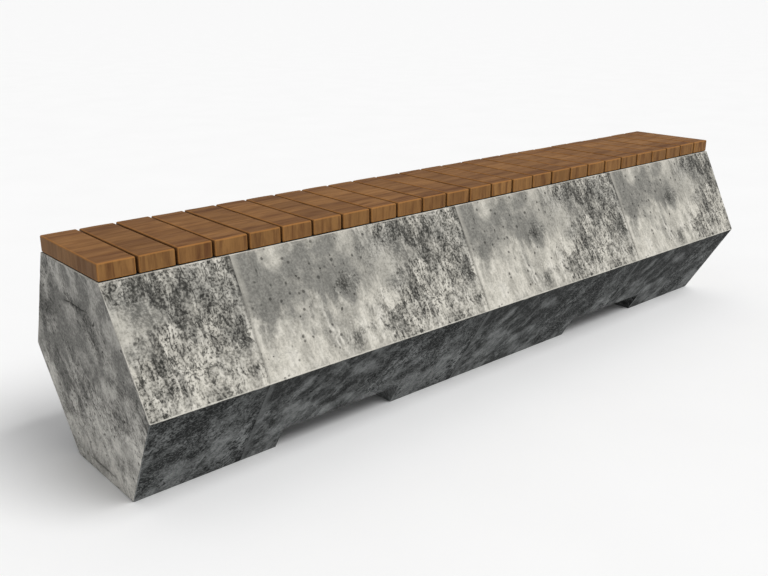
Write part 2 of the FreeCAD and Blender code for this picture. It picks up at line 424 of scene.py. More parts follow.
        # The dark line is partly painted shade beside the fin.
        fin = self.to_joint / self.span(self.fine, 0.35, 0.6, 0.002, 0.007)
        self.stain(self.span(fin, 1.0, 0.4, 0.0, 0.4), self.dark)
        # The pale strip is a painted highlight on the fin's lit side.
        beside = self.span(self.past_joint, 0.016, 0.003)
        self.stain(beside * self.span(self.mid, 0.4, 0.6, 0.05, 0.5), self.pale)


def timber_finish(name, s, stretch, turn, tint, grain_depth, banded=False):
    """Oiled hardwood with fine grain along one axis, told from slat to slat by stored values.

    A banded board has darker bands across it near its two ends.
    """
    f = Finish(name)
    shift = f.vectors("ADD", f.stored("grain_shift", "Vector"), f.coords)
    along = f.drawn_out(stretch, turn, shift)
    wide = f.noise(17.0, 3.0, 0.55, along, 0.8)
    lines = f.noise(75.0, 4.0, 0.6, along, 0.5)
    hair = f.noise(260.0, 3.0, 0.65, along)
    blotch = f.noise(9.0, 3.0, 0.5, shift)

    tone = f.mix(f.span(wide, 0.36, 0.64), s.body, s.light)
    tone = f.mix(f.span(lines, 0.52, 0.30) * grain_depth, tone, s.streak)
    tone = f.mix(f.span(hair, 0.55, 0.30) * 0.35, tone, s.streak)
    tone = f.mix(f.span(blotch, 0.40, 0.72, 0.0, 0.3), tone, s.streak)
    if banded:
        across = f.axes()[1] + f.span(wide, 0.3, 0.7, -BAND_EDGE, BAND_EDGE)
        for near, far, depth in BANDS:
            band = f.hill(across, near - BAND_EDGE, near, far, far + BAND_EDGE)
            tone = f.mix(band * f.span(lines, 0.35, 0.6, depth, depth / 3), tone, s.streak)
    # Painted highlight with some wear: the eased edges are pulled towards the rim colour.
    tone = f.mix(f.stored("edge") * 0.6, tone, s.rim)
    tone = f.mix(1.0, tone, tint, "MULTIPLY")
    own = f.span(f.stored("slat_tone"), 0.0, 1.0, 0.93, 1.06)
    tone = f.add("ShaderNodeHueSaturation", {"Color": tone, "Value": own}, "Color")

    relief = lines * 0.6 + hair * 0.4
    rough = f.span(lines, 0.3, 0.7, 0.75, 0.6)
    return f.done(
        Base_Color=tone, Roughness=rough, Normal=f.bump(relief, 0.0005, 0.6), Specular_IOR_Level=0.15
    )


def galvanised_finish():
    """Zinc bloom in large crystals, dulled by weather."""
    f = Finish("galvanised_steel")
    crystal = f.channel(f.cells(95.0)[1], "Green")
    bloom = f.noise(30.0, 4.0, 0.6)
    tone = f.mix(f.span(crystal, 0.0, 1.0, 0.0, 0.6), (0.42, 0.43, 0.45), (0.60, 0.61, 0.62))
    tone = f.mix(f.span(bloom, 0.5, 0.75, 0.0, 0.5), tone, (0.70, 0.70, 0.68))
    rough = f.span(bloom, 0.3, 0.7, 0.38, 0.6)
    return f.done(
        Base_Color=tone, Roughness=rough, Metallic=0.9, Normal=f.bump(crystal, 0.0001, 0.5)
    )


def stainless_finish():
    """Turned stainless steel with fine rings and handling marks."""
    f = Finish("stainless_steel")
    lathe = f.noise(900.0, 2.0, 0.5, f.drawn_out((10.0, 10.0, 0.3)))
    marks = f.noise(240.0, 3.0, 0.6)
    tone = f.mix(f.span(marks, 0.4, 0.7), (0.58, 0.57, 0.55), (0.44, 0.43, 0.42))
    rough = f.span(lathe, 0.3, 0.7, 0.25, 0.42)
    return f.done(
        Base_Color=tone, Roughness=rough, Metallic=1.0, Normal=f.bump(lathe, 0.00005, 0.6)
    )


def rubber_finish():
    """Matt black rubber with bloom and a fine pebbled skin."""
    f = Finish("black_rubber")
    skin = f.noise(700.0, 2.0, 0.5)
    bloom = f.noise(22.0, 4.0, 0.6)
    tone = f.mix(f.span(bloom, 0.45, 0.7), (0.018, 0.018, 0.018), (0.055, 0.053, 0.05))
    return f.done(
        Base_Color=tone, Roughness=f.span(bloom, 0.3, 0.7, 0.7, 0.9),
        Normal=f.bump(skin, 0.0002, 0.5),
    )


def resin_finish():
    """Cured grey injection resin with filler grains and small bubbles."""
    f = Finish("cured_resin")
    grains = f.noise(500.0, 3.0, 0.6)
    bubble = f.cells(420.0)[0]
    tone = f.mix(f.span(grains, 0.35, 0.65), (0.26, 0.25, 0.23), (0.40, 0.39, 0.36))
    tone = f.mix(f.span(bubble, 0.2, 0.08), tone, (0.10, 0.10, 0.09))
    return f.done(
        Base_Color=tone, Roughness=f.span(grains, 0.3, 0.7, 0.45, 0.65),
        Normal=f.bump(bubble, 0.0003, 0.5),
    )


def rusted_bar_finish():
    """Hot-rolled bar: blue-grey mill scale broken by orange rust."""
    f = Finish("rusted_bar")
    rust = f.span(f.noise(60.0, 5.0, 0.65), 0.42, 0.60)
    speck = f.noise(420.0, 3.0, 0.6)
    tone = f.mix(rust, (0.12, 0.12, 0.13), (0.30, 0.11, 0.035))
    tone = f.mix(f.span(speck, 0.5, 0.75, 0.0, 0.6), tone, (0.10, 0.045, 0.02))
    return f.done(
        Base_Color=tone, Roughness=f.span(rust, 0.0, 1.0, 0.45, 0.9),
        Metallic=f.span(rust, 0.0, 1.0, 0.8, 0.0), Normal=f.bump(speck, 0.0004, 0.6),
    )


def zinc_plate_finish():
    """Yellow-passivated zinc plating on the cast-in sockets."""
    f = Finish("zinc_plate")
    film = f.noise(45.0, 3.0, 0.5)
    scuffs = f.noise(380.0, 3.0, 0.6, f.drawn_out((1.0, 1.0, 5.0)))
    tone = f.mix(f.span(film, 0.35, 0.65), (0.56, 0.52, 0.38), (0.50, 0.50, 0.46))
    tone = f.mix(f.span(scuffs, 0.55, 0.75), tone, (0.30, 0.30, 0.29))
    return f.done(
        Base_Color=tone, Roughness=f.span(scuffs, 0.3, 0.7, 0.28, 0.5), Metallic=0.95,
        Normal=f.bump(scuffs, 0.00008, 0.5),
    )


def cap_finish():
    """Moulded red polyethylene with faint flow marks and dust."""
    f = Finish("cap_plastic")
    flow = f.noise(130.0, 3.0, 0.5, f.drawn_out((1.0, 1.0, 3.0)))
    dust = f.noise(260.0, 4.0, 0.65)
    tone = f.mix(f.span(flow, 0.35, 0.65), (0.40, 0.045, 0.03), (0.48, 0.075, 0.045))
    tone = f.mix(f.span(dust, 0.52, 0.75, 0.0, 0.5), tone, (0.42, 0.38, 0.33))
    return f.done(
        Base_Color=tone, Roughness=f.span(dust, 0.4, 0.7, 0.38, 0.6),
        Normal=f.bump(flow, 0.0001, 0.5),
    )


# The casting's skin


def casting_corners(s):
    """The body's sharp corners. A key is (level, place along, side)."""
    half_top = s.top_length / 2

    def half_length(z):
        return half_top - s.end_draft * (1 - z / s.height)

    def half_width(z):
        if z < s.waist_height:
            return (s.base_width + (s.waist_width - s.base_width) * z / s.waist_height) / 2
        share = (z - s.waist_height) / (s.height - s.waist_height)
        return (s.waist_width + (s.top_width - s.waist_width) * share) / 2

    corners = {}
    levels = {"base": 0.0, "waist": s.waist_height, "top": s.height}
    for level, z in levels.items():
        for end in (-1, 1):
            for side in (FRONT, BACK):
                corners[level, end, side] = Vector((end * half_length(z), side * half_width(z), z))
    bay = 2 * half_length(0.0) / s.base_bays
    for place in (-2, -1, 1, 2):
        for level, z in (("foot", 0.0), ("notch", s.notch_height)):
            for side in (FRONT, BACK):
                corners[level, place, side] = Vector((place * bay, side * half_width(z), z))
    return corners


def casting_faces():
    """(finish, corner keys, outward hint) of each flat face, notch ceilings before notch walls."""
    faces = [("hidden", [("top", -1, FRONT), ("top", 1, FRONT), ("top", 1, BACK), ("top", -1, BACK)],
              (0, 0, 1))]
    for side in (FRONT, BACK):
        upper = [("top", -1, side), ("top", 1, side), ("waist", 1, side), ("waist", -1, side)]
        faces.append(("upper", upper, (0, side, 0)))
        lower = [("waist", -1, side), ("waist", 1, side), ("base", 1, side)]
        for places in ((2, 1), (-1, -2)):
            lower += [("foot", places[0], side), ("notch", places[0], side)]
            lower += [("notch", places[1], side), ("foot", places[1], side)]
        faces.append(("lower", lower + [("base", -1, side)], (0, side, 0)))
    for end in (-1, 1):
        front = [(level, end, FRONT) for level in ("top", "waist", "base")]
        back = [(level, end, BACK) for level in ("base", "waist", "top")]
        faces.append(("end", front + back, (end, 0, 0)))
    feet = [(("base", -1), ("foot", -2)), (("foot", -1), ("foot", 1)), (("foot", 2), ("base", 1))]
    notches = [(("notch", -2), ("notch", -1)), (("notch", 1), ("notch", 2))]
    for near, far in feet + notches:
        loop = [(*near, FRONT), (*far, FRONT), (*far, BACK), (*near, BACK)]
        faces.append(("hidden", loop, (0, 0, -1)))
    for place in (-2, -1, 1, 2):
        loop = [("foot", place, FRONT), ("notch", place, FRONT),
                ("notch", place, BACK), ("foot", place, BACK)]
        towards_notch = 1 if place in (-2, 1) else -1
        faces.append(("hidden", loop, (towards_notch, 0, 0)))
    return faces


def is_inner_corner(edge):
    """True for the line where a notch's ceiling meets its wall, which is never rounded."""
    return all(key[0] == "notch" for key in edge) and len({key[1] for key in edge}) == 1


def inside_outline(points, outline):
    """Even-odd test of many points against a closed outline."""
    inside = np.zeros(len(points), bool)
    for (x0, y0), (x1, y1) in zip(outline, np.roll(outline, -1, axis=0)):
        if y0 == y1:
            continue
        crosses = (points[:, 1] < y0) != (points[:, 1] < y1)
        at = x0 + (points[:, 1] - y0) / (y1 - y0) * (x1 - x0)
        inside ^= crosses & (points[:, 0] < at)
    return inside


def outline_distance(points, outline):
    """Distance of many points from a closed outline."""
    nearest = np.full(len(points), np.inf)
    for start, end in zip(outline, np.roll(outline, -1, axis=0)):
        run = end - start
        share = np.clip((points - start) @ run / max(run @ run, 1e-12), 0, 1)
        nearest = np.minimum(nearest, np.linalg.norm(points - start - share[:, None] * run, axis=1))
    return nearest


class FacePlan:
    """Points and lines on one flat face, before they are joined into triangles.

    across, up and out are the face's own axes, and start is its origin. Each point
    has a depth below the face and a share of painted shade, which darkens the hollows.
    """

    def __init__(self, out, start):
        self.across = Vector((1, 0, 0)) if abs(out.x) < 0.9 else Vector((0, 1, 0))
        self.up = out.cross(self.across)
        self.out = out
        self.start = start
        self.points, self.depths, self.shares, self.lines = [], [], [], []
        self.joints, self.cracks, self.holes = [], [], []

    def flat(self, spot):
        offset = spot - self.start
        return Vector((offset.dot(self.across), offset.dot(self.up)))

    def add(self, point, depth=0.0, share=0.0):
        self.points.append(point)
        self.depths.append(depth)
        self.shares.append(share)
        return len(self.points) - 1

    def chain(self, points, depth=0.0, share=0.0, closed=True):
        """Adds points and joins each to the next one, and the last to the first."""
        added = [self.add(point, depth, share) for point in points]
        self.lines += list(zip(added, added[1:] + added[:1] if closed else added[1:]))

    def spot(self, place, known):
        depth = 0.0 if known is None else self.depths[known]
        return self.start + self.across * place.x + self.up * place.y - self.out * depth

    def has_room(self, x, y, radius):
        """True where an air hole stays clear of joints, cracks and other holes."""
        for line in self.joints:
            if abs(x - line) <= radius + 4 * MM:
                return False
        for left, right, level in self.cracks:
            if left - radius < x < right + radius and abs(y - level) < radius + 6 * MM:
                return False
        return all(math.dist((x, y), hole[:2]) > radius + hole[2] + 2 * MM for hole in self.holes)


class CastingSkin:
    """Builds the concrete as flat faces joined by rounded, chipped arrises."""

    EDGE_GAP, JOINT_GAP, JITTER = 0.55, 0.45, 0.3  # of a face's inner points, in mesh steps
    ROUNDING = (0.25, 0.5, 0.75)  # where the rows of an arris stand between its two faces
    WORN, CHIPPED = 0.08, 1.3  # how far an arris is cut straight, everywhere and at a chip
    PEAK = 0.28  # how far a corner's tip stands out towards the sharp corner
    CHIPS = 7  # on each metre of arris
    CHIP_LENGTHS = (4 * MM, 12 * MM)
    HOLE_RINGS = ((1.0, 0.0), (0.82, 0.5), (0.5, 0.9))  # radius and depth shares of a blow hole
    HOLE_SIDES = 9
    HOLE_CLUSTERS = 22  # on each square metre
    HOLE_SIZES = (0.9, 2.4, 2.2)  # least radius and what is added to it in mm, and its rarity
    CLUSTERED = 0.55  # share of the holes that lie in clusters
    CLUSTER_SPREAD = (35 * MM, 25 * MM)
    # The darkness is the share of painted shade inside the crack.
    CRACK_SIDES = ((-1, 0.0, 0.6), (0, 2 * MM, 1.6), (1, 0.0, 0.6))  # side, depth, darkness
    WAVES = ((9, 1.6), (34, 1.0))  # of the cast face: how many to a metre, and how high
    STREAKS = (150, 34, 34)

    def __init__(self, settings):
        self.s = settings
        self.rng = random.Random(CASTING_SEED)
        self.corners = casting_corners(settings)
        self.mesh = bmesh.new()
        self.arris = self.mesh.verts.layers.float.new("arris")
        self.hollow_shade = self.mesh.verts.layers.float.new("hollow_shade")
        self.edges = {}
        self.ends = {}
        margin = Vector((settings.groove_margin, settings.groove_margin, 0))
        pads = [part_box("rail_pad_front"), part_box("rail_pad_back")]
        self.grooves = [(low - margin, high + margin) for low, high in pads]
        middle = settings.joint_offset
        self.joints = [middle + i * settings.joint_pitch for i in (-1, 0, 1)]

    def joint_lines(self):
        """X of the three lines that make each form joint's fin."""
        return [x + side * self.s.joint_width for x in self.joints for side in (-1, 0, 1)]

    def edge(self, a, b):
        """The sampled edge between two corners, made once and shared by both faces."""
        key = frozenset((a, b))
        if key not in self.edges:
            first, last = sorted(key)
            start = self.corners[first]
            run = self.corners[last] - start
            count = max(1, round(run.length / self.s.mesh_step))
            steps = [i * run.length / count for i in range(count + 1)]
            if abs(run.normalized().x) > 0.999:
                steps = self.with_joints(steps, start.x, run)
            self.edges[key] = {
                "first": first,
                "steps": steps,
                "points": [start + run.normalized() * step for step in steps],
                "insets": self.insets(steps, is_inner_corner(key)),
                "sides": [],
            }
        return self.edges[key]

    def with_joints(self, steps, start_x, run):
        """Steps along an edge, moved so that three of them fall on each form joint."""
        direction = 1 if run.x > 0 else -1
        marks = [(x - start_x) * direction for x in self.joint_lines()]
        marks = [mark for mark in marks if 0 < mark < run.length]
        gap = 2.2 * self.s.joint_width
        kept = [step for step in steps if all(abs(step - mark) > gap for mark in marks)]
        return sorted(kept + marks)

    def insets(self, steps, inner):
        """How far each face stops short of the sharp edge, with a few chips."""
        if inner:
            return [(0.0, 0.0)] * len(steps)
        length = steps[-1]
        chips = []
        for _ in range(int(length * self.CHIPS)):
            place = self.rng.uniform(0.03, 0.97) * length
            chips.append((place, self.rng.uniform(*self.CHIP_LENGTHS), self.rng.random() ** 3))
        seed = self.rng.uniform(0, 100)
        insets = []
        for step in steps:
            wave = 1 + 0.25 * noise.noise(Vector((step * 40, seed, 0)))
            chip = max([size * math.exp(-((step - at) / wide) ** 2) for at, wide, size in chips] + [0])
            insets.append((self.s.arris * wave + self.s.chip_size * chip, chip))
        insets[0] = insets[-1] = (self.s.arris, 0.0)
        return insets

    def add_face(self, finish_index, loop, hint):
        """One flat face: its outline, its blow holes and the points between."""
        normal = (self.corners[loop[1]] - self.corners[loop[0]]).cross(
            self.corners[loop[2]] - self.corners[loop[1]]
        ).normalized()
        area = sum(
            (self.corners[a].cross(self.corners[b]) for a, b in zip(loop, loop[1:] + loop[:1])),
            Vector(),
        )
        if normal.dot(area) < 0:
            normal = -normal
        if normal.dot(Vector(hint)) < 0:
            loop = loop[::-1]
            normal = -normal

        sides = []
        for a, b in zip(loop, loop[1:] + loop[:1]):
            edge = self.edge(a, b)
            forward = edge["first"] == a
            along = (self.corners[b] - self.corners[a]).normalized()
            sides.append((edge, forward, along, normal.cross(along)))

        corner_verts = [
            self.corner_vert(loop[i], sides[i - 1], sides[i], normal) for i in range(len(loop))
        ]
        outline = []
        for i, (edge, forward, along, inward) in enumerate(sides):
            ends = corner_verts[i], corner_verts[(i + 1) % len(loop)]
            verts = self.side_verts(edge, forward, inward, ends)
            outline += verts[:-1]
        self.fill(outline, FacePlan(normal, self.corners[loop[0]]), finish_index)

    def corner_vert(self, key, before, after, normal):
        """The corner of a face, set back from both of its edges."""
        for edge, forward, at_end in ((*before[:2], True), (*after[:2], False)):
            if edge["sides"] and edge["insets"][0][0] == 0.0:
                shared = edge["sides"][0]
                return shared[-1] if at_end == forward else shared[0]
        back = before[0]["insets"][-1 if before[1] else 0][0]
        ahead = after[0]["insets"][0 if after[1] else -1][0]
        rows = Matrix((before[3], after[3], normal))
        return self.mesh.verts.new(self.corners[key] + rows.inverted() @ Vector((back, ahead, 0)))

    def side_verts(self, edge, forward, inward, ends):
        """A face's points along one edge. The faces on an unrounded edge share them."""
        if edge["sides"] and edge["insets"][0][0] == 0.0:
            verts = edge["sides"][0]
            return verts if forward else verts[::-1]
        points = edge["points"] if forward else edge["points"][::-1]
        insets = edge["insets"] if forward else edge["insets"][::-1]
        inner = [
            self.mesh.verts.new(point + inward * inset[0])
            for point, inset in zip(points[1:-1], insets[1:-1])
        ]
        verts = [ends[0], *inner, ends[1]]
        edge["sides"].append(verts if forward else verts[::-1])
        return verts

    def fill(self, outline_verts, plan, finish_index):
        """Joins a face's outline, blow holes, form joints and inner points into triangles."""
        plan.chain([plan.flat(vert.co) for vert in outline_verts])
        outline = np.array(plan.points)
        count = len(outline)
        visible = finish_index != FINISH_ORDER.index("hidden")
        if abs(plan.out.x) < 0.5 and visible:
            self.add_joint_lines(plan, outline_verts)
        if plan.out.z > 0.9:
            self.add_groove_outlines(plan)
        if plan.out.x < -0.9:
            self.add_hairlines(plan)
        if visible:
            self.add_blow_holes(plan, outline)
        for point in self.inner_points(plan, outline, visible):
            plan.add(point)

        flat_verts, _, faces, sources, _, face_sources = geometry.delaunay_2d_cdt(
            plan.points, plan.lines, [list(range(count))], 1, 1e-7, True
        )
        verts = []
        for place, source in zip(flat_verts, sources):
            known = min(source) if source else None
            if known is not None and known < count:
                verts.append(outline_verts[known])
                continue
            vert = self.mesh.verts.new(plan.spot(place, known))
            vert[self.hollow_shade] = 0.0 if known is None else plan.shares[known]
            verts.append(vert)
        for corners, inside in zip(faces, face_sources):
            if inside:
                face = self.mesh.faces.new([verts[i] for i in corners])
                face.material_index = finish_index

    def add_joint_lines(self, plan, outline_verts):
        """Straight lines across a face where form panels met."""
        for x in self.joint_lines():
            ends = [i for i, vert in enumerate(outline_verts) if abs(vert.co.x - x) < SAME_PLACE]
            if len(ends) != 2:
                continue
            start, end = (plan.points[i] for i in ends)
            plan.joints.append(start.x)
            count = max(2, round((end - start).length / self.s.mesh_step))
            last = ends[0]
            for i in range(1, count):
                point = plan.add(start.lerp(end, i / count))
                plan.lines.append((last, point))
                last = point
            plan.lines.append((last, ends[1]))

    def add_groove_outlines(self, plan):
        """The outlines of the two grooves that the rails lie in."""
        for low, high in self.grooves:
            corners = ((low.x, low.y), (high.x, low.y), (high.x, high.y), (low.x, high.y))
            plan.chain([plan.flat(Vector((x, y, self.s.height))) for x, y in corners])

    def add_hairlines(self, plan):
        """Short level cracks in the near end face."""
        for start, end, height in HAIRLINES:
            count = round((end - start) / (0.5 * self.s.mesh_step))
            middle, widths = [], []
            for i in range(count + 1):
                wander = 2.2 * MM * noise.noise(Vector((i * 0.35, height * 50, 0)))
                y = start + (end - start) * i / count
                middle.append(plan.flat(Vector((-self.s.top_length / 2, y, height + wander))))
                widths.append((0.8 + 1.9 * math.sin(math.pi * i / count)) * MM)
            for side, depth, share in self.CRACK_SIDES:
                row = [spot + Vector((0, side * width)) for spot, width in zip(middle, widths)]
                plan.chain(row, depth, share, closed=False)
            left, right = sorted((middle[0].x, middle[-1].x))
            plan.cracks.append((left, right, (middle[0].y + middle[-1].y) / 2))

    def add_blow_holes(self, plan, outline):
        """Small round air holes, some of them in loose clusters."""
        low, high = outline.min(0), outline.max(0)
        area = float(np.prod(high - low))

        def anywhere():
            return self.rng.uniform(low[0], high[0]), self.rng.uniform(low[1], high[1])

        clusters = [anywhere() for _ in range(max(2, int(area * self.HOLE_CLUSTERS)))]
        spread = self.CLUSTER_SPREAD
        least, added, rarity = self.HOLE_SIZES
        tries = []
        for _ in range(int(area * self.s.blow_holes)):
            if self.rng.random() < self.CLUSTERED:
                x, y = self.rng.choice(clusters)
                place = (self.rng.gauss(x, spread[0]), self.rng.gauss(y, spread[1]))
            else:
                place = anywhere()
            tries.append((*place, (least + added * self.rng.random() ** rarity) * MM))
        points = np.array([hole[:2] for hole in tries])
        clear = outline_distance(points, outline)
        inside = inside_outline(points, outline)
        for hole, room, is_in in zip(tries, clear, inside):
            if is_in and room > hole[2] + 6 * MM and plan.has_room(*hole):
                plan.holes.append(hole)
        for hole in plan.holes:
            self.add_blow_hole(plan, *hole)

    def add_blow_hole(self, plan, x, y, radius):
        """A small round crater: rings of points that go deeper towards its middle."""
        lean = self.rng.uniform(0, math.pi)
        length = self.rng.uniform(1.0, 1.35)
        deep = radius * self.rng.uniform(0.7, 1.1)
        turn = Matrix.Rotation(lean, 2)
        rim = [self.rng.uniform(0.9, 1.08) for _ in range(self.HOLE_SIDES)]
        middle = Vector((x, y))
        for share, depth in self.HOLE_RINGS:
            ring = []
            for i, wobble in enumerate(rim):
                angle = 2 * math.pi * i / self.HOLE_SIDES
                reach = radius * share * wobble
                spot = Vector((math.cos(angle) * reach * length, math.sin(angle) * reach))
                ring.append(middle + turn @ spot)
            # The last figure is each ring's share of painted shade: a little at the rim, full inside
            # the hole.
            plan.chain(ring, deep * depth, 0.15 if depth == 0.0 else 1.0)
        plan.add(middle, deep, 1.0)

    def inner_points(self, plan, outline, visible):
        """A jittered grid that keeps clear of the outline, holes, form joints and cracks."""
        step = self.s.mesh_step if visible else 3 * self.s.mesh_step
        low, high = outline.min(0), outline.max(0)
        xs = np.arange(low[0] + step, high[0], step)
        ys = np.arange(low[1] + step, high[1], step)
        grid = np.array([(x, y) for x in xs for y in ys])
        if not len(grid):
            return []
        most = self.JITTER
        jitter = [[self.rng.uniform(-most, most) for _ in range(2)] for _ in grid]
        grid += step * np.array(jitter)
        keep = inside_outline(grid, outline)
        keep &= outline_distance(grid, outline) > self.EDGE_GAP * step
        for line in plan.joints:
            keep &= np.abs(grid[:, 0] - line) > self.JOINT_GAP * step
        for left, right, level in plan.cracks:
            beside = (grid[:, 0] > left) & (grid[:, 0] < right)
            keep &= ~(beside & (np.abs(grid[:, 1] - level) < 5 * MM))
        for x, y, radius in plan.holes:
            keep &= np.hypot(grid[:, 0] - x, grid[:, 1] - y) > 1.5 * radius + 1.5 * MM
        return [Vector(point) for point in grid[keep]]

    def add_arrises(self, finish_of):
        """Strips of small faces that round each outer edge."""
        for key, edge in self.edges.items():
            if len(edge["sides"]) != 2:
                continue
            left, right = edge["sides"]
            rows = [left]
            for share in self.ROUNDING:
                row = []
                for a, b, point, inset in zip(left, right, edge["points"], edge["insets"]):
                    middle = (a.co + b.co) / 2
                    control = point.lerp(middle, min(1.0, self.WORN + self.CHIPPED * inset[1]))
                    spot = (1 - share) ** 2 * a.co + 2 * share * (1 - share) * control
                    vert = self.mesh.verts.new(spot + share ** 2 * b.co)
                    vert[self.arris] = 1.0
                    row.append(vert)
                rows.append(row)
            rows.append(right)
            for near, far in zip(rows, rows[1:]):
                for i in range(len(near) - 1):
                    face = self.mesh.faces.new((near[i], near[i + 1], far[i + 1], far[i]))
                    face.material_index = finish_of(key)
            first, last = sorted(key)
            self.ends.setdefault(first, []).append([row[0] for row in rows])
            self.ends.setdefault(last, []).append([row[-1] for row in rows])

    def add_corners(self):
        """Closes each corner of the casting with a fan of small faces round its tip."""
        for key, lines in self.ends.items():
            if len(lines) != 3:
                continue
            loop = list(lines[0])
            left = lines[1:]
            while left:
                for line in left:
                    if line[0] is loop[-1]:
                        loop += line[1:]
                    elif line[-1] is loop[-1]:
                        loop += line[::-1][1:]
                    else:
                        continue
                    left.remove(line)
                    break
            loop = loop[:-1]
            middle = sum((vert.co for vert in loop), Vector()) / len(loop)
            peak = self.mesh.verts.new(middle.lerp(self.corners[key], self.PEAK))
            peak[self.arris] = 1.0
            for a, b in zip(loop, loop[1:] + loop[:1]):
                self.mesh.faces.new((a, b, peak)).material_index = FINISH_ORDER.index("end")

    def sink_grooves(self):
        """Presses the two rail grooves into the top face."""
        for low, high in self.grooves:
            inside = []
            for face in self.mesh.faces:
                middle = face.calc_center_median()
                is_top = middle.z > self.s.height - 0.01 * MM
                if is_top and low.x < middle.x < high.x and low.y < middle.y < high.y:
                    inside.append(face)
            pressed = bmesh.ops.extrude_face_region(self.mesh, geom=inside)["geom"]
            verts = [item for item in pressed if isinstance(item, bmesh.types.BMVert)]
            bmesh.ops.translate(self.mesh, verts=verts, vec=(0, 0, low.z - self.s.height))
            bmesh.ops.delete(self.mesh, geom=inside, context="FACES")

    def uneven(self):
        """Gives the skin its slight waves and raises the fins at the form joints."""
        self.mesh.normal_update()
        moves = []
        for vert in self.mesh.verts:
            point = vert.co
            wave = sum(rise * noise.noise(point * rate) for rate, rise in self.WAVES)
            streak = noise.noise(point * Vector(self.STREAKS))
            height = self.s.relief * (0.5 * wave + 0.45 * streak)
            if abs(vert.normal.x) < 0.5 and abs(vert.normal.z) < 0.8:
                for line in self.joints:
                    if abs(point.x - line) < SAME_PLACE:
                        lift = 0.7 + 0.6 * noise.noise(point * 55)
                        height += self.s.joint_height * lift
            moves.append(vert.normal * height)
        for vert, move in zip(self.mesh.verts, moves):
            if MM < vert.co.z < self.s.height - MM:
                vert.co += move


FINISH_ORDER = ["upper", "lower", "end", "hidden"]


def arris_finish(edge):
    """The finish of the strip along an edge: that of the face that shows most."""
    levels = {key[0] for key in edge}
    if levels <= {"top", "waist"}:
        return FINISH_ORDER.index("upper")
    return FINISH_ORDER.index("lower")


def sharpened(piece):
    """Keeps flat faces flat while their rounded edges stay smooth."""
    for polygon in piece.data.polygons:
        polygon.use_smooth = True
    modifier = piece.modifiers.new("Flat faces", "WEIGHTED_NORMAL")
    modifier.weight = 50
    return piece


def in_scene(name, data):
    """An object made of the data and linked to the scene."""
    made = bpy.data.objects.new(name, data)
    bpy.context.scene.collection.objects.link(made)
    return made


def mesh_object(name, mesh, materials):
    data = bpy.data.meshes.new(name)
    mesh.to_mesh(data)
    mesh.free()
    for material in materials:
        data.materials.append(material)
    return in_scene(name, data)


class BENCH_OT_casting(bpy.types.Operator):
    """Build the concrete body's skin, with its arrises, blow holes, cracks and form joints"""

    bl_idname = "bench.casting"
    bl_label = "Concrete Body"

    def execute(self, context):
        s = context.scene.bench_casting
        skin = CastingSkin(s)
        for finish, loop, hint in casting_faces():
            skin.add_face(FINISH_ORDER.index(finish), loop, hint)
        skin.add_arrises(arris_finish)
        skin.add_corners()
        bmesh.ops.remove_doubles(skin.mesh, verts=skin.mesh.verts, dist=SAME_PLACE)
        skin.sink_grooves()
        bmesh.ops.recalc_face_normals(skin.mesh, faces=skin.mesh.faces)
        loose = [edge for edge in skin.mesh.edges if len(edge.link_faces) != 2]
        if loose:
            raise RuntimeError(f"the casting's skin has {len(loose)} open edges")
        skin.uneven()

        upper = s.bright, s.pale, s.grey, s.dark
        # Lower and hidden faces take the darker underside colours, which are painted shade.
        lower_shaded_colours = s.lower_shaded_bright, s.lower_shaded_pale, s.lower_shaded_grey, s.lower_shaded_dark
        ends = s.end_bright, s.end_pale, s.end_grey, s.dark
        lean, slant = (0, math.radians(-6), 0), (0, math.radians(38), 0)
        end_lean = (math.radians(-30), 0, 0)
        upper_zone, end_zone = (s.waist_height, s.height), (0.0, s.height)
        finishes = (
            ConcreteFinish("concrete_upper", s, upper, (1.0, 2.6, 2.6), lean, 1.0, upper_zone),
            ConcreteFinish("concrete_lower_shaded", s, lower_shaded_colours, (1.0, 1.9, 1.9), slant, 1.1),
            ConcreteFinish("concrete_end", s, ends, (2.0, 1.0, 2.0), end_lean, 0.9, end_zone, 0.65),
            ConcreteFinish("concrete_hidden", s, lower_shaded_colours, (1, 1, 1), (0, 0, 0), 0.5),
        )
        materials = [finish.material for finish in finishes]
        piece = sharpened(mesh_object("concrete_skin", skin.mesh, materials))
        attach(piece, "root")
        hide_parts("concrete_body")
        return {"FINISHED"}


# Slats


def edge_stations(half, radius, steps, spacing):
    """Places along one axis of a board: close together round its eased edges."""
    core = half - radius
    count = max(1, round(2 * core / spacing))
    inner = [-core + 2 * core * i / count for i in range(count + 1)]
    rim = [core + radius * i / steps for i in range(1, steps + 1)]
    return [-value for value in rim[::-1]] + inner + rim


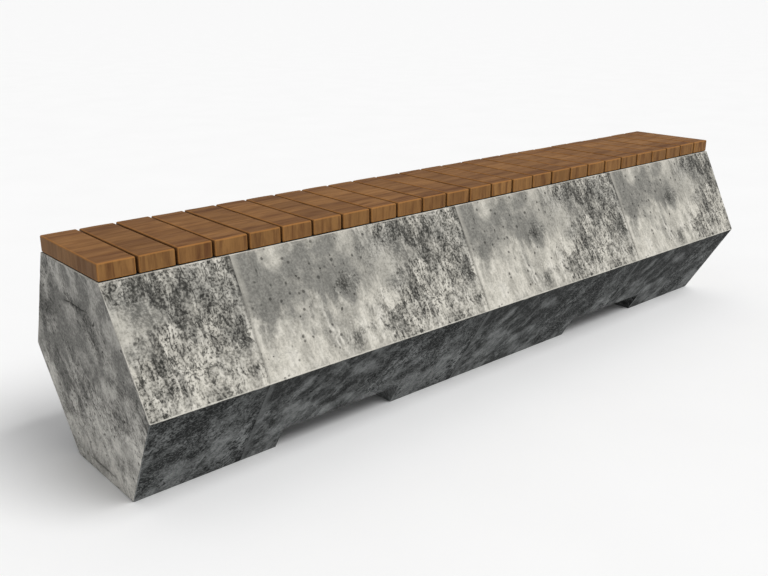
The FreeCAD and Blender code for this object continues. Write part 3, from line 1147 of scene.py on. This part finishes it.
def eased_board(low, high, s):
    """A board with rounded edges, built as six grids that share their borders."""
    centre = (low + high) / 2
    half = (high - low) / 2
    stations = [edge_stations(half[i], s.edge_radius, s.edge_steps, s.mesh_step) for i in range(3)]
    mesh = bmesh.new()
    edge_layer = mesh.verts.layers.float.new("edge")
    made = {}

    def vert(place):
        if place not in made:
            spot = Vector(place)
            core = Vector([max(-(h - s.edge_radius), min(h - s.edge_radius, v))
                           for h, v in zip(half, spot)])
            out = spot - core
            eased = core + out.normalized() * s.edge_radius if out.length > 0 else spot
            made[place] = mesh.verts.new(centre + eased)
            reach = sum(abs(value) > 1e-9 for value in out)
            made[place][edge_layer] = 1.0 if reach > 1 else 0.0
        return made[place]

    for axis in range(3):
        first, second = [i for i in range(3) if i != axis]
        for value in (stations[axis][0], stations[axis][-1]):
            for a0, a1 in zip(stations[first], stations[first][1:]):
                for b0, b1 in zip(stations[second], stations[second][1:]):
                    corners = []
                    for a, b in ((a0, b0), (a1, b0), (a1, b1), (a0, b1)):
                        place = [0.0, 0.0, 0.0]
                        place[axis], place[first], place[second] = value, a, b
                        corners.append(vert(tuple(place)))
                    face = mesh.faces.new(corners)
                    face.material_index = axis
    bmesh.ops.recalc_face_normals(mesh, faces=mesh.faces)
    return mesh, centre, half


class BENCH_OT_slats(bpy.types.Operator):
    """Build the seat's cross slats, each with eased edges and its own slight cup and tone"""

    bl_idname = "bench.slats"
    bl_label = "Seat Slats"
    DENT_DEPTH = 0.6 * MM
    DENT_REACH = 14 * MM

    def execute(self, context):
        s = context.scene.bench_timber
        rng = random.Random(SLAT_SEED)
        along_x, lean = (9.0, 1.0, 1.0), (0, 0, math.radians(2))
        along_z, upright = (1.0, 1.0, 8.0), (0, 0, 0)
        # The sides' tint is darker than the top's: painted shade on the slat sides and in the gaps
        # between slats.
        shaded_side_tint, end_tint, top_tint = (0.80, 0.79, 0.70), (0.96, 0.94, 0.74), (1.07, 1.0, 0.78)
        materials = [
            timber_finish("timber_side_shaded", s, along_z, upright, shaded_side_tint, 0.6),
            timber_finish("timber_end_grain", s, along_z, upright, end_tint, 0.85),
            timber_finish("timber_top", s, along_x, lean, top_tint, 0.6, banded=True),
        ]
        for name in SLATS:
            low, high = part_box(name)
            mesh, centre, half = eased_board(low, high, s)
            self.settle(mesh, centre, half, s, rng)
            self.store_grain(mesh, rng)
            piece = sharpened(mesh_object(name + "_board", mesh, materials))
            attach(piece, "root")
            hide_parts(name)
        return {"FINISHED"}

    def settle(self, mesh, centre, half, s, rng):
        """Cups the top a little, dents an edge or two and sets the board slightly out of line."""
        cup = rng.uniform(-1.0, 1.0) * s.cup
        slide = rng.uniform(-1.0, 1.0) * s.shift
        sink = rng.uniform(0.0, 1.0) * s.shift * 0.6
        dents = [
            (rng.choice((-1, 1)) * half.x, rng.uniform(-0.9, 0.9) * half.y, rng.uniform(0.3, 1.0))
            for _ in range(3)
        ]
        for vert in mesh.verts:
            across = (vert.co.x - centre.x) / half.x
            top = (vert.co.z - centre.z) / half.z
            if top > 0.5:
                vert.co.z -= sink + abs(cup) - cup * (1 - across * across)
                for x, y, size in dents:
                    off = math.hypot((vert.co.x - centre.x - x) * 3, vert.co.y - centre.y - y)
                    vert.co.z -= self.DENT_DEPTH * size * math.exp(-((off / self.DENT_REACH) ** 2))
            vert.co.y += slide

    def store_grain(self, mesh, rng):
        """Stores where in the tree this board came from, so no two boards look alike."""
        tone_layer = mesh.verts.layers.float.new("slat_tone")
        shift_layer = mesh.verts.layers.float_vector.new("grain_shift")
        tone = rng.random()
        shift = Vector((rng.uniform(0, 9), rng.uniform(0, 9), rng.uniform(0, 9)))
        for vert in mesh.verts:
            vert[tone_layer] = tone
            vert[shift_layer] = shift


# Metalwork and small fittings, which keep their own shapes


class BENCH_OT_fittings(bpy.types.Operator):
    """Give the rails, screws, studs, sockets, bars, strips, resin and caps their finishes"""

    bl_idname = "bench.fittings"
    bl_label = "Rails and Fittings"

    def execute(self, context):
        finishes = {
            galvanised_finish(): ("rail_front", "rail_back", "rail_studs"),
            stainless_finish(): ("slat_screws_front", "slat_screws_back"),
            rubber_finish(): ("rail_pad_front", "rail_pad_back"),
            resin_finish(): ("stud_resin",),
            rusted_bar_finish(): ("rebar_stirrups", "rebar_long_bars", "lifting_socket_bars"),
            zinc_plate_finish(): ("lifting_sockets",),
            cap_finish(): ("lifting_socket_caps",),
        }
        for material, names in finishes.items():
            for name in names:
                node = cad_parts[name]
                if not node.material_slots:
                    raise RuntimeError(f"{name} has no material slot")
                for slot in node.material_slots:
                    slot.link = "OBJECT"
                    slot.material = material
        return {"FINISHED"}


# Stage


class BENCH_OT_stage(bpy.types.Operator):
    """Set up the pale floor, the soft studio light and the camera"""

    bl_idname = "bench.stage"
    bl_label = "Stage"

    def execute(self, context):
        s = context.scene.bench_stage
        self.floor(s)
        self.light(s)
        self.camera(s)
        return {"FINISHED"}

    def floor(self, s):
        mesh = bmesh.new()
        bmesh.ops.create_grid(mesh, x_segments=2, y_segments=2, size=s.floor_size / 2)
        f = Finish("studio_floor")
        mottle = f.noise(3.0, 2.0, 0.5)
        colour = f.mix(f.span(mottle, 0.3, 0.7), s.floor_colour, [v * 0.985 for v in s.floor_colour])
        f.done(Base_Color=colour, Roughness=0.9, Specular_IOR_Level=0.1)
        mesh_object("studio_floor", mesh, [f.material])

    def light(self, s):
        world = bpy.data.worlds.new("studio")
        world.use_nodes = True
        background = world.node_tree.nodes["Background"]
        background.inputs["Color"].default_value = (1.0, 1.0, 1.0, 1.0)
        background.inputs["Strength"].default_value = s.sky_strength
        bpy.context.scene.world = world
        bpy.context.scene.view_settings.view_transform = "Standard"
        data = bpy.data.lights.new("key", "SUN")
        data.energy = s.key_strength
        data.angle = s.key_spread
        to_light = Vector(s.key_from).to_track_quat("Z", "Y")
        in_scene("key", data).rotation_euler = to_light.to_euler()

    def camera(self, s):
        data = bpy.data.cameras.new("camera")
        data.sensor_width = 36.0
        data.lens = s.lens
        camera = in_scene("camera", data)
        camera.location = s.camera_place
        camera.rotation_euler = (s.camera_tilt, 0.0, s.camera_heading)
        bpy.context.scene.camera = camera


class BENCH_PT_sidebar(bpy.types.Panel):
    """The bench's settings and the buttons that build it"""

    bl_idname = "BENCH_PT_sidebar"
    bl_label = "Slatted Concrete Bench"
    bl_space_type = "VIEW_3D"
    bl_region_type = "UI"
    bl_category = "Bench"

    def draw(self, context):
        groups = (
            (context.scene.bench_casting, ("bench.casting",)),
            (context.scene.bench_timber, ("bench.slats", "bench.fittings")),
            (context.scene.bench_stage, ("bench.stage",)),
        )
        for settings, operators in groups:
            column = self.layout.box().column()
            for name in settings.__annotations__:
                column.prop(settings, name)
            for operator in operators:
                column.operator(operator)


CLASSES = (
    CastingSettings,
    TimberSettings,
    StageSettings,
    BENCH_OT_casting,
    BENCH_OT_slats,
    BENCH_OT_fittings,
    BENCH_OT_stage,
    BENCH_PT_sidebar,
)


def register():
    for cls in CLASSES:
        bpy.utils.register_class(cls)
    bpy.types.Scene.bench_casting = PointerProperty(type=CastingSettings)
    bpy.types.Scene.bench_timber = PointerProperty(type=TimberSettings)
    bpy.types.Scene.bench_stage = PointerProperty(type=StageSettings)


def unregister():
    del bpy.types.Scene.bench_stage
    del bpy.types.Scene.bench_timber
    del bpy.types.Scene.bench_casting
    for cls in reversed(CLASSES):
        bpy.utils.unregister_class(cls)


def main():
    register()
    bpy.ops.bench.stage()
    bpy.ops.bench.casting()
    bpy.ops.bench.slats()
    bpy.ops.bench.fittings()


if __name__ == "__main__":
    main()
